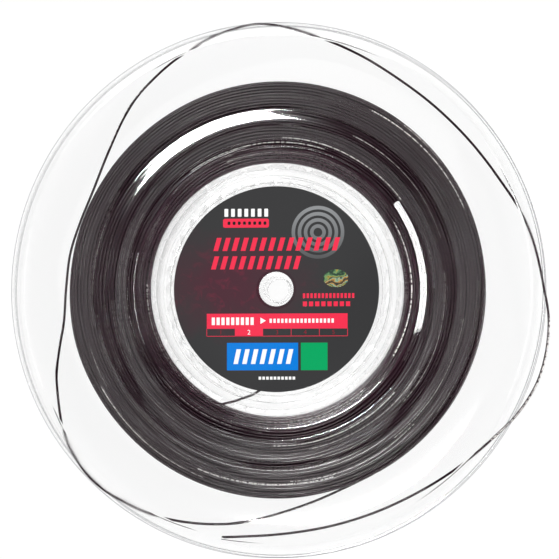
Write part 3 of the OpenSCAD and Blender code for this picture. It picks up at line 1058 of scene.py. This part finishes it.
@dataclass
class Flange:
    """One clear moulding: hub face, shoulder, dish, flat web, step, land, rounded rim and rim wall."""

    side: Side
    mid: float = 11.0
    rim_r: float = 135.0
    wall: float = 1.5
    web_gap: float = 15.6
    rim_slit: float = 2.4
    rim_wall: float = 1.6
    rim_round: float = 0.6
    land_w: float = 7.0
    step_drop: float = 0.5
    web_drop: float = 0.7
    slope_w: float = 11.0
    dish_in_r: float = 76.1
    dish_out_r: float = 91.0
    crest_round: float = 5.0
    foot_round: float = 1.0
    shoulder_a: float = 30.0
    crease_a: float = 7.0
    foot_a: float = 0.0
    face_h: float = 11.0
    recess_h: float = 0.6
    recess_r: float = 53.4
    bore_r: float = 6.0
    tube_r: float = 8.5
    hole_r: float = 8.6
    bore_chamfer: float = 0.6
    collar_w: float = 1.8
    collar_h: float = 7.0
    bead_h: float = 0.25
    bead_w: float = 1.5
    bead_top: float = 0.5
    tooth_n: int = 36
    teeth_r: float = 57.0
    teeth_h: float = 2.5
    teeth_wall: float = 0.7
    drum_gap: float = 3.6
    drum_wall: float = 3.0
    pocket_wall: float = 0.6
    pocket_floor: float = 1.0
    rib_w: float = 0.8
    end_gap: float = 0.3
    slot_w: float = 7.6
    ring_slot: Place = (-104.5, 52.0, 58.2)     # bearing, inner and outer radius of the slot in the ring
    drum_slot: Place = (-113.5, 59.4, 64.8)     # the same of the slot in the drum
    string_h: float = 6.01             # height of the string's start over the middle plane
    string_room: float = 1.25          # from there to the near end of each slot
    slot_clear: float = 0.5            # the slots' cutters stop this far from the reel's hub faces
    edge: float = 0.25                 # moulded edges are broken by this much
    fine_edge: float = 0.1             # the same at the hole and at the step
    slope_lift: float = 0.02           # rise of the slope over the width of a broken edge
    rim_relief: float = 0.01           # the rim's wall starts this much inside its corner
    steps: int = 432                   # twelve to each tooth
    recess_draft: float = 0.18
    draft: float = 0.3
    rim_draft: float = 0.2
    tip_round: float = 0.4
    root_round: float = 0.3
    bend_round: float = 40.0
    pocket_steps: int = 8
    crease: float = 28.0               # edges sharper than this many degrees stay sharp
    hub_straight: float = 0.5          # share of the light that passes the hub's thin walls without bending
    rim_straight: float = 0.88         # the same on the upright rim walls
    corner_smoke: Point = (0.8, 1.1)   # reach of the painted shade at the rim's corner, inwards and down, in its radii
    tip_smoke: Point = (0.9, 1.1)      # reach of the painted shade at the rim wall's tip, outwards and up, in its radii

    @property
    def floor_h(self) -> float:
        """Height of the label recess's floor over the middle plane."""
        return self.face_h - self.recess_h

    @property
    def web_h(self) -> float:
        """Height of the flat web's outer face over the middle plane."""
        return self.web_gap / 2 + self.wall

    @property
    def land_h(self) -> float:
        """Height of the land's outer face over the middle plane."""
        return self.web_h - self.web_drop - self.step_drop

    @property
    def drum_in_r(self) -> float:
        """Inner radius of the drum."""
        return self.teeth_r + self.drum_gap

    def skin(self) -> list[Point]:
        """Draws the outer face.

        Returns:
            Its points from the recess to the land, as radius and height over the middle plane.
        """
        web, bend, crest = self.web_h, self.foot_round, self.crest_round
        sine = {a: math.sin(math.radians(a)) for a in (self.crease_a, self.foot_a, self.shoulder_a)}
        cosine = {a: math.cos(math.radians(a)) for a in (self.crease_a, self.foot_a, self.shoulder_a)}
        dish_r = (self.dish_out_r - self.dish_in_r) / (sine[self.crease_a] + sine[self.foot_a])
        dish_c = (self.dish_out_r - dish_r * sine[self.crease_a], web + dish_r * cosine[self.crease_a])
        foot_top = dish_c[1] - dish_r * cosine[self.foot_a]
        foot_c = (self.dish_in_r + bend * sine[self.foot_a], foot_top + bend * cosine[self.foot_a])
        foot_end = (foot_c[0] - bend * sine[self.shoulder_a], foot_c[1] - bend * cosine[self.shoulder_a])
        crest_h = self.face_h - crest * (1 - cosine[self.shoulder_a])
        crest_r = foot_end[0] - (crest_h - foot_end[1]) / math.tan(math.radians(self.shoulder_a))
        face_r = crest_r - crest * sine[self.shoulder_a]
        slope_h, land_h = web - self.web_drop, self.land_h
        step_r = self.rim_r - self.land_w
        bend_r = step_r - self.slope_w
        bend_a = math.degrees(math.atan(self.web_drop / self.slope_w))
        foot_r = step_r + 2 * self.draft
        e, fine = self.edge, self.fine_edge
        return ([(self.recess_r, self.floor_h), (self.recess_r + self.recess_draft, self.face_h - e),
                 (self.recess_r + self.draft + e, self.face_h)]
                + arc((face_r, self.face_h - crest), crest, 0, self.shoulder_a, steps=12)
                + arc(foot_c, bend, self.shoulder_a, self.foot_a, steps=8, side=-1)
                + arc(dish_c, dish_r, self.foot_a, -self.crease_a, steps=20, side=-1)[1:]
                + arc((bend_r, web - self.bend_round), self.bend_round, 0, bend_a, steps=4)
                + [(step_r - e, slope_h + self.slope_lift), (step_r + fine, slope_h - e),
                   (foot_r - fine, land_h + fine), (foot_r + e, land_h)])

    def rim(self) -> list[Point]:
        """Draws the rounded corner and the rim wall towards the other flange, and goes back to the land.

        Returns:
            Their points, as radius and height over the middle plane.
        """
        tip_r, wall_r, slit = self.rim_r - self.rim_draft, self.rim_r - self.rim_wall, self.rim_slit / 2
        corner_h, tip, e = self.land_h - self.rim_round, self.tip_round, self.edge
        return (arc((self.rim_r - self.rim_round, corner_h), self.rim_round, 0, 90, steps=10)
                + [(self.rim_r - self.rim_relief, corner_h - e)]
                + arc((tip_r - tip, slit + tip), tip, 90, 180, steps=4)
                + arc((wall_r + tip, slit + tip), tip, 180, 270, steps=6) + [(wall_r, slit + tip + e)]
                + arc((wall_r - self.rim_draft - self.root_round, self.land_h - self.wall - self.root_round),
                      self.root_round, 90, 0, steps=6))

    def ring(self) -> list[tuple[float, float, float]]:
        """Draws the toothed ring or the drum under the web.

        Returns:
            Its points, as radius, height and share of the tooth's depth.
        """
        top, low, e = self.face_h - self.wall, self.end_gap - self.face_h + self.wall, self.edge
        if self.side is Side.FRONT:
            outer, inner = self.teeth_r, self.teeth_r - self.teeth_wall
            return [(outer + e, top, 0), (outer, top - e, 0), (outer, low + e, 0), (outer - e, low, 0),
                    (inner, low, 1), (inner, top, 1)]
        inner, outer = self.drum_in_r, self.drum_in_r + self.drum_wall
        return [(outer + e, top, 0), (outer, top - e, 0), (outer, low + e, 0), (outer - e, low, 0),
                (inner + e, low, 0), (inner, low + e, 0), (inner, top - e, 0), (inner - e, top, 0)]

    def smoke(self, r: float, h: float) -> float:
        """Says where the plastic gets painted grey shade, for the dark lines that bending light draws at the
        rim.

        Args:
            r: the point's radius.
            h: its height over the middle plane.

        Returns:
            1 on the rim's corner and on the inner tip of its wall, and 0 elsewhere.
        """
        inwards, down = (share * self.rim_round for share in self.corner_smoke)
        outwards, up = (share * self.tip_round for share in self.tip_smoke)
        corner = r > self.rim_r - inwards and self.land_h - down < h < self.land_h
        tip = r < self.rim_r - self.rim_wall + outwards and h < self.rim_slit / 2 + up
        return 1.0 if (corner or tip) and r > self.rim_r - 2 * self.rim_wall else 0.0

    def straight(self, r: float) -> float:
        """Says which share of the light passes without bending: none on the smooth web and dish.

        Args:
            r: a point's radius.

        Returns:
            The share, from 0 to 1.
        """
        if r > self.rim_r - 2 * self.rim_wall:
            return self.rim_straight
        return self.hub_straight if r < self.dish_in_r - self.crest_round else 0.0

    def outline(self) -> list[tuple[float, float, float]]:
        """Draws the whole closed outline.

        Returns:
            Its points, as radius, height and share of the tooth's depth.
        """
        skin = self.skin()
        below = [(r, h - self.wall) for r, h in reversed(skin)]
        ring = self.ring()
        ring_r = max(r for r, _, _ in ring)
        ring_in_r = min(r for r, _, _ in ring) - self.teeth_h
        outside = [p for p in below if p[0] > ring_r]
        inside = [p for p in below if p[0] < ring_in_r]
        floor, under, high = self.floor_h, self.floor_h - self.wall, self.floor_h + self.bead_h
        if self.side is Side.FRONT:
            low, fine = under - self.collar_h, self.fine_edge
            hole_r, collar_r = self.hole_r, self.hole_r + self.collar_w
            middle_top = [(hole_r, high - fine), (hole_r + fine, high), (hole_r + self.bead_top, high),
                          (hole_r + self.bead_w, floor)]
            middle_low = [(collar_r, under), (collar_r, low + 2 * fine), (collar_r - 2 * fine, low),
                          (hole_r, low)]
        else:
            c = self.bore_chamfer
            middle_top = [(self.bore_r, high - c), (self.bore_r + c, high), (self.tube_r, high),
                          (self.tube_r, floor)]
            middle_low = [(self.tube_r, under), (self.tube_r, -high), (self.bore_r + c, -high),
                          (self.bore_r, c - high)]
        plain = [(r, h, 0) for r, h in middle_top + skin + self.rim() + outside]
        return plain + ring + [(r, h, 0) for r, h in inside + middle_low]

    def tooth_form(self) -> bpy.types.NodeTree:
        """Builds the tree that draws pointed teeth into the marked wall of the ring.

        Returns:
            The tree.
        """
        tree, given = new_form("teeth_of_ring", {"Count": "NodeSocketInt", "Depth": "NodeSocketFloat",
                                                 "Finish": "NodeSocketMaterial"})
        take = given.outputs
        share = add_node(tree, "GeometryNodeInputNamedAttribute", {"Name": "tooth_share"},
                         data_type="FLOAT")
        place = add_node(tree, "GeometryNodeInputPosition")
        parts = add_node(tree, "ShaderNodeSeparateXYZ", {0: place.outputs[0]})
        angle = add_node(tree, "ShaderNodeMath", {0: parts.outputs["Y"], 1: parts.outputs["X"]},
                         operation="ARCTAN2")
        count = add_node(tree, "ShaderNodeMath", {0: angle.outputs[0], 1: take["Count"]},
                         operation="MULTIPLY")
        phase = add_node(tree, "ShaderNodeMath", {0: count.outputs[0], 1: 1 / (2 * math.pi)},
                         operation="MULTIPLY")
        # Each tooth rises over half a turn of the phase and falls over the other half
        wave = add_node(tree, "ShaderNodeMath", {0: phase.outputs[0], 1: 0.5}, operation="PINGPONG")
        pointed = add_node(tree, "ShaderNodeMath", {0: wave.outputs[0], 1: 2.0}, operation="MULTIPLY")
        deep = add_node(tree, "ShaderNodeMath", {0: pointed.outputs[0], 1: take["Depth"]},
                        operation="MULTIPLY")
        amount = add_node(tree, "ShaderNodeMath", {0: deep.outputs[0], 1: share.outputs[0]},
                          operation="MULTIPLY")
        flat = add_node(tree, "ShaderNodeVectorMath", {0: place.outputs[0], 1: (-1, -1, 0)},
                        operation="MULTIPLY")
        inward = add_node(tree, "ShaderNodeVectorMath", {0: flat.outputs[0]}, operation="NORMALIZE")
        move = add_node(tree, "ShaderNodeVectorMath", {0: inward.outputs[0], "Scale": amount.outputs[0]},
                        operation="SCALE")
        cut = add_node(tree, "GeometryNodeSetPosition", {"Geometry": take["Geometry"],
                                                         "Offset": move.outputs[0]})
        end_form(tree, cut.outputs[0], take["Finish"])
        return tree

    def pocket_form(self) -> bpy.types.NodeTree:
        """Builds the tree that repeats one pocket of the drum round the axis.

        Returns:
            The tree.
        """
        tree, given = new_form("pockets_of_drum", {"Count": "NodeSocketInt", "Finish": "NodeSocketMaterial"})
        take = given.outputs
        row = add_node(tree, "GeometryNodeMeshLine", {"Count": take["Count"], "Offset": (0, 0, 0)})
        index = add_node(tree, "GeometryNodeInputIndex")
        share = add_node(tree, "ShaderNodeMath", {0: index.outputs[0], 1: take["Count"]}, operation="DIVIDE")
        turn = add_node(tree, "ShaderNodeMath", {0: share.outputs[0], 1: 2 * math.pi}, operation="MULTIPLY")
        way = add_node(tree, "ShaderNodeCombineXYZ", {2: turn.outputs[0]})
        pockets = add_node(tree, "GeometryNodeInstanceOnPoints", {"Points": row.outputs[0],
                                                                  "Instance": take["Geometry"],
                                                                  "Rotation": way.outputs[0]})
        end_form(tree, pockets.outputs[0], take["Finish"])
        return tree

    def cut_pockets(self, piece: bpy.types.Object, finish: bpy.types.Material) -> None:
        """Cuts the U-shaped pockets into the drum, between its two walls.

        Args:
            piece: the moulding.
            finish: the clear plastic.
        """
        inner, steps = self.drum_in_r + self.pocket_wall, self.pocket_steps
        depth = self.drum_wall - 2 * self.pocket_wall
        half = 180 / self.tooth_n - math.degrees(math.asin(self.rib_w / 2 / inner))
        low = self.mid - self.face_h + self.wall + self.pocket_floor
        high = self.mid + self.face_h
        bow = [(half * (2 * i / steps - 1), inner + depth * math.sqrt(abs(math.sin(math.pi * i / steps))))
               for i in range(steps + 1)]
        n = len(bow)
        points = [tuple(spot(bearing, r, z)) for z in (low, high) for bearing, r in bow]
        faces = [tuple(range(n)), tuple(range(2 * n - 1, n - 1, -1))]
        faces += [((i + 1) % n, i, n + i, n + (i + 1) % n) for i in range(n)]
        cutter = mesh_object("pocket_cutter", points, faces)
        formed(cutter, self.pocket_form(), {"Count": self.tooth_n, "Finish": finish})
        self.cut(piece, cutter)

    def cut_slot(self, piece: bpy.types.Object) -> None:
        """Cuts the slot that the string's start runs through, by a box taken from the ring or the drum.

        Args:
            piece: the moulding.
        """
        lay = self.mid + self.string_h
        if self.side is Side.FRONT:
            bearing, near, far = self.ring_slot
            low, high = self.mid - self.face_h + self.slot_clear, lay + self.string_room
        else:
            bearing, near, far = self.drum_slot
            low, high = lay - self.string_room, self.mid + self.face_h - self.slot_clear
        half = self.slot_w / 2
        corners = [(x, y, z) for x in (near, far) for y in (-half, half) for z in (low, high)]
        box = mesh_object("slot_cutter", corners, [(0, 1, 3, 2), (4, 6, 7, 5), (0, 4, 5, 1), (2, 3, 7, 6),
                                                   (0, 2, 6, 4), (1, 5, 7, 3)])
        box.data.transform(Matrix.Rotation(math.radians(bearing), 4, "Z"))
        self.cut(piece, box)

    def cut(self, piece: bpy.types.Object, cutter: bpy.types.Object) -> None:
        """Takes one mesh away from the piece and deletes it.

        Args:
            piece: the moulding.
            cutter: the mesh that is taken away.
        """
        taken = piece.modifiers.new(cutter.name, "BOOLEAN")
        taken.operation = "DIFFERENCE"
        taken.solver = "MANIFOLD"
        taken.object = cutter
        applied(piece)
        bpy.data.objects.remove(cutter)

    def make(self, finish: bpy.types.Material) -> bpy.types.Object:
        """Makes the moulding and puts it in its CAD node's place.

        Args:
            finish: the clear plastic.

        Returns:
            The moulding.
        """
        title = "front_moulding" if self.side is Side.FRONT else "rear_moulding"
        node = "front_flange" if self.side is Side.FRONT else "rear_flange"
        outline = self.outline()
        line = [(r, self.mid + self.side.value * h) for r, h, _ in outline]
        piece = revolved(title, line, self.steps)
        for name, marks in (("tooth_share", [s for _, _, s in outline]),
                            # painted shade on the rim's corner and wall tip
                            ("edge_painted_shade", [self.smoke(r, h) for r, h, _ in outline]),
                            ("straight_share", [self.straight(r) for r, _, _ in outline])):
            share = piece.data.attributes.new(name, "FLOAT", "POINT")
            share.data.foreach_set("value", marks * self.steps)
        formed(piece, self.tooth_form(), {"Count": self.tooth_n, "Depth": self.teeth_h * MM,
                                          "Finish": finish})
        if self.side is Side.REAR:
            self.cut_pockets(piece, finish)
        self.cut_slot(piece)
        smooth(piece, self.crease)
        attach(piece, "root")
        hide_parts(node)
        report(piece)
        return piece


# ---------------------------------------------------------------- label


@dataclass
class LabelPrint:
    """The generic print on the label: plain bars, rings, a five-step scale and blocks of colour.

    Places are millimetres from the label's middle, on its upper face.
    """

    height: float = 21.7               # of the label's upper face
    ink: float = 0.03
    merge: float = 0.0001              # points of the numbers closer than this become one
    corner_steps: int = 6
    scale_left: float = -35.1
    scale_right: float = 35.9
    scale_low: float = -23.6
    scale_high: float = -19.9
    cell: float = 14.2
    rule: float = 0.12                 # half the width of the lines between the cells
    rows: bpy.types.NodeTree | None = None     # the tree that repeats a bar, built when the print is made

    def bar(self, x0: float, y0: float, x1: float, y1: float, corner: float = 0.0,
            slant: float = 0.0) -> list[Point]:
        """Draws a bar.

        Args:
            x0: its left edge.
            y0: its lower edge.
            x1: its right edge.
            y1: its upper edge.
            corner: radius of its corners.
            slant: how far a bar with sharp corners leans to the right at its top.

        Returns:
            The outline.
        """
        corner = min(corner, (x1 - x0) / 2, (y1 - y0) / 2)
        if corner <= 0:
            return [(x0, y0), (x1, y0), (x1 + slant, y1), (x0 + slant, y1)]
        centres = ((x1 - corner, y0 + corner, -90), (x1 - corner, y1 - corner, 0),
                   (x0 + corner, y1 - corner, 90), (x0 + corner, y0 + corner, 180))
        outline = []
        for cx, cy, first in centres:
            for k in range(self.corner_steps + 1):
                angle = math.radians(first + 90 * k / self.corner_steps)
                outline.append((cx + corner * math.cos(angle), cy + corner * math.sin(angle)))
        return outline

    def plate(self, name: str, outlines: list[list[Point]], finish: bpy.types.Material,
              layer: int = 0) -> bpy.types.Object:
        """Makes one ink's shapes as thin closed plates on the label.

        Args:
            name: the piece's name.
            outlines: the shapes.
            finish: the ink.
            layer: how many inks lie below this one.

        Returns:
            The plates as one mesh.
        """
        points: list[Place] = []
        faces = []
        low = self.height + layer * self.ink
        for outline in outlines:
            first, n = len(points), len(outline)
            points += [(x, y, low) for x, y in outline] + [(x, y, low + self.ink) for x, y in outline]
            faces.append(tuple(first + n + i for i in range(n)))
            faces.append(tuple(first + i for i in reversed(range(n))))
            faces += [(first + i, first + (i + 1) % n, first + n + (i + 1) % n, first + n + i)
                      for i in range(n)]
        piece = mesh_object(name, points, faces)
        outward(piece, split=True)
        piece.data.materials.append(finish)
        return piece

    def flat(self, name: str, outlines: list[list[Point]], finish: bpy.types.Material,
             layer: int = 0) -> bpy.types.Object:
        """Prints shapes in one ink, as plate makes them, and lays them on the label."""
        return self.lay(self.plate(name, outlines, finish, layer))

    def lay(self, piece: bpy.types.Object) -> bpy.types.Object:
        """Lets a printed piece go with the label.

        Args:
            piece: the printed piece.

        Returns:
            The same piece.
        """
        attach(piece, "root")
        report(piece)
        return piece

    def numbers(self, name: str, places: dict[int, Point], size: float,
                finish: bpy.types.Material) -> bpy.types.Object:
        """Prints plain numbers in the cells of the scale.

        Args:
            name: the piece's name.
            places: each number and its middle.
            size: size of the figures.
            finish: the ink.

        Returns:
            The numbers as one mesh.
        """
        body = bmesh.new()
        for number, (x, y) in places.items():
            text = bpy.data.curves.new("scale_number", "FONT")
            text.body = str(number)
            text.size = size * MM
            text.align_x = "CENTER"
            text.align_y = "CENTER"
            text.extrude = self.ink / 2 * MM
            carrier = bpy.data.objects.new("scale_number", text)
            bpy.context.scene.collection.objects.link(carrier)
            bpy.context.view_layer.update()
            graph = bpy.context.evaluated_depsgraph_get()
            mesh = bpy.data.meshes.new_from_object(carrier.evaluated_get(graph))
            # The text reaches half an ink's thickness up and down, and lies on one ink
            mesh.transform(Matrix.Translation((x * MM, y * MM, (self.height + 1.5 * self.ink) * MM)))
            body.from_mesh(mesh)
            bpy.data.objects.remove(carrier)
            bpy.data.meshes.remove(mesh)
        piece = mesh_object(name, [], [])
        bmesh.ops.remove_doubles(body, verts=body.verts, dist=self.merge * MM)
        body.to_mesh(piece.data)
        body.free()
        piece.data.materials.append(finish)
        return self.lay(piece)

    def row_form(self) -> bpy.types.NodeTree:
        """Builds the tree that repeats one printed bar along a row.

        Returns:
            The tree.
        """
        tree, given = new_form("row_of_bars", {"Count": "NodeSocketInt", "Pitch": "NodeSocketFloat",
                                               "Finish": "NodeSocketMaterial"})
        step = add_node(tree, "ShaderNodeCombineXYZ", {0: given.outputs["Pitch"]})
        line = add_node(tree, "GeometryNodeMeshLine", {"Count": given.outputs["Count"],
                                                       "Offset": step.outputs[0]})
        bars = add_node(tree, "GeometryNodeInstanceOnPoints", {"Points": line.outputs[0],
                                                               "Instance": given.outputs["Geometry"]})
        end_form(tree, bars.outputs[0], given.outputs["Finish"])
        return tree

    def row(self, name: str, first: list[Point], count: int, pitch: float, finish: bpy.types.Material,
            layer: int = 0) -> bpy.types.Object:
        """Prints one bar over and over along a row.

        Args:
            name: the piece's name.
            first: outline of the bar at the row's left end.
            count: number of bars.
            pitch: step from bar to bar.
            finish: the ink.
            layer: how many inks lie below this one.

        Returns:
            The row as one mesh.
        """
        bar = self.plate(name, [first], finish, layer)
        return self.lay(formed(bar, self.rows, {"Count": count, "Pitch": pitch * MM, "Finish": finish}))

    def rings(self, cx: float, cy: float, r0: float, r1: float, steps: int = 64) -> list[list[Point]]:
        """Draws a flat ring.

        Args:
            cx: its middle, to the right.
            cy: its middle, upwards.
            r0: inner radius.
            r1: outer radius.
            steps: steps of each half.

        Returns:
            The outlines of its left half and its right half.
        """
        halves = []
        for first in (90, 270):
            angles = [math.radians(first + 180 * i / steps) for i in range(steps + 1)]
            halves.append([(cx + r1 * math.cos(a), cy + r1 * math.sin(a)) for a in angles]
                          + [(cx + r0 * math.cos(a), cy + r0 * math.sin(a)) for a in reversed(angles)])
        return halves

    def make(self) -> None:
        """Prints every shape of the label, from its head down. A row takes its first bar, count and pitch."""
        self.rows = self.row_form()
        red = PrintInk("red_ink", "#E52D49", "#DC2F4A").make()
        dull = PrintInk("dull_red_ink", "#86222F", "#7A202C").make()
        white = PrintInk("white_ink", "#EEEEEE", "#E4E4E4").make()
        blue = PrintInk("blue_ink", "#0075D1", "#0A70C4").make()
        green = PrintInk("green_ink", "#009C5B", "#089456").make()
        black = PrintInk("black_ink", "#1A1718", "#221C1E").make()
        grey = FadingInk().make()
        # Head: a row of upright white bars over a red band with dark dots
        self.row("print_head_bars", self.bar(-26.2, 36.5, -24.3, 40.5, 0.3), 7, 3.36, white)
        self.flat("print_head_band", [self.bar(-26.9, 31.0, -3.7, 35.5, 1.0)], red)
        self.row("print_head_dots", self.bar(-24.6, 32.4, -23.2, 34.1, 0.5), 8, 2.6, black, layer=1)
        # Coil of grey rings in the upper right, and two rows of slanted red stripes over it
        coil = [half for i in range(4) for half in self.rings(21.0, 28.5, 2.2 + 3.1 * i, 4.0 + 3.1 * i)]
        self.flat("print_coil", coil, grey)
        self.row("print_stripes_upper", self.bar(-31.8, 19.3, -29.4, 25.9, slant=1.8), 14, 4.6, red, layer=1)
        self.row("print_stripes_lower", self.bar(-33.0, 10.0, -30.6, 16.6, slant=1.8), 10, 4.6, red, layer=1)
        # Two small rows under the seal
        self.row("print_ruler_ticks", self.bar(13.4, -4.6, 14.6, -2.2), 14, 1.9, red)
        self.row("print_ruler_bars", self.bar(13.4, -8.7, 15.5, -6.3), 8, 3.1, red)
        # Red band with rows of white bars, over a scale of five cells with the second one filled
        left, right, low, high = self.scale_left, self.scale_right, self.scale_low, self.scale_high
        self.flat("print_scale_band", [self.bar(left, high, right, -12.3),
                                       self.bar(left + self.cell, low, left + 2 * self.cell, high)], red)
        self.row("print_band_bars", self.bar(-32.6, -18.0, -31.0, -14.2), 9, 2.45, white, layer=1)
        self.flat("print_band_arrow", [[(-8.0, -17.5), (-5.2, -15.9), (-8.0, -14.3)]], white, layer=1)
        self.row("print_band_ticks", self.bar(-3.4, -17.0, -2.2, -14.9), 17, 1.95, white, layer=1)
        walls = [left + self.cell * i for i in (0, 3, 4, 5)]
        lines = [self.bar(x - self.rule, low, x + self.rule, high) for x in walls]
        lines += [self.bar(left, -23.75, right, -23.5)]
        self.flat("print_scale_cells", lines, red)
        places = {i + 1: (left + self.cell * (i + 0.5), -21.8) for i in range(5)}
        self.numbers("print_scale_numbers", {n: places[n] for n in (1, 3, 4, 5)}, 3.2, dull)
        self.numbers("print_scale_choice", {2: places[2]}, 3.4, white)
        # Blocks of colour low on the label: a blue one with white bars and a green one beside it
        self.flat("print_block_blue", [self.bar(-24.9, -40.8, 11.0, -27.0)], blue)
        self.flat("print_block_green", [self.bar(12.4, -40.8, 25.8, -27.0)], green)
        self.row("print_block_bars", self.bar(-21.6, -37.6, -19.4, -30.2, slant=1.6), 7, 4.4, white, layer=1)
        self.row("print_foot_line", self.bar(-8.9, -45.5, -7.6, -44.0), 10, 1.9, white)


# ---------------------------------------------------------------- the reel


@dataclass
class StringReel:
    """The whole reel, built piece by piece."""

    string: LooseString = field(default_factory=LooseString)

    def make(self) -> None:
        """Builds and dresses every piece, and says in the log what was made."""
        string_finish = PolyesterString().make()
        self.string.make(string_finish)
        Winding(self.string).make(string_finish)
        clear = ClearPolystyrene().make()
        for side in Side:
            Flange(side).make(clear)
        self.dress("front_label", LabelFilm().make())
        self.dress("oval_seal", SealFoil().make())
        LabelPrint().make()

    def dress(self, node: str, finish: bpy.types.Material) -> None:
        """Gives a CAD node its finish.

        Args:
            node: the node's name.
            finish: its material.
        """
        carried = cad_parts[node]
        for slot in carried.material_slots:
            slot.material = finish
        log.info("%s dressed in %s", node, finish.name)


def main() -> None:
    """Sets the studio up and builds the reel."""
    logging.basicConfig(level=logging.INFO, format="%(name)s: %(message)s")
    bpy.context.scene.view_settings.view_transform = "Standard"
    studio = Studio()
    studio.camera()
    StringReel().make()
    studio.ground()
    studio.room()
    studio.light()


if __name__ == "__main__":
    main()
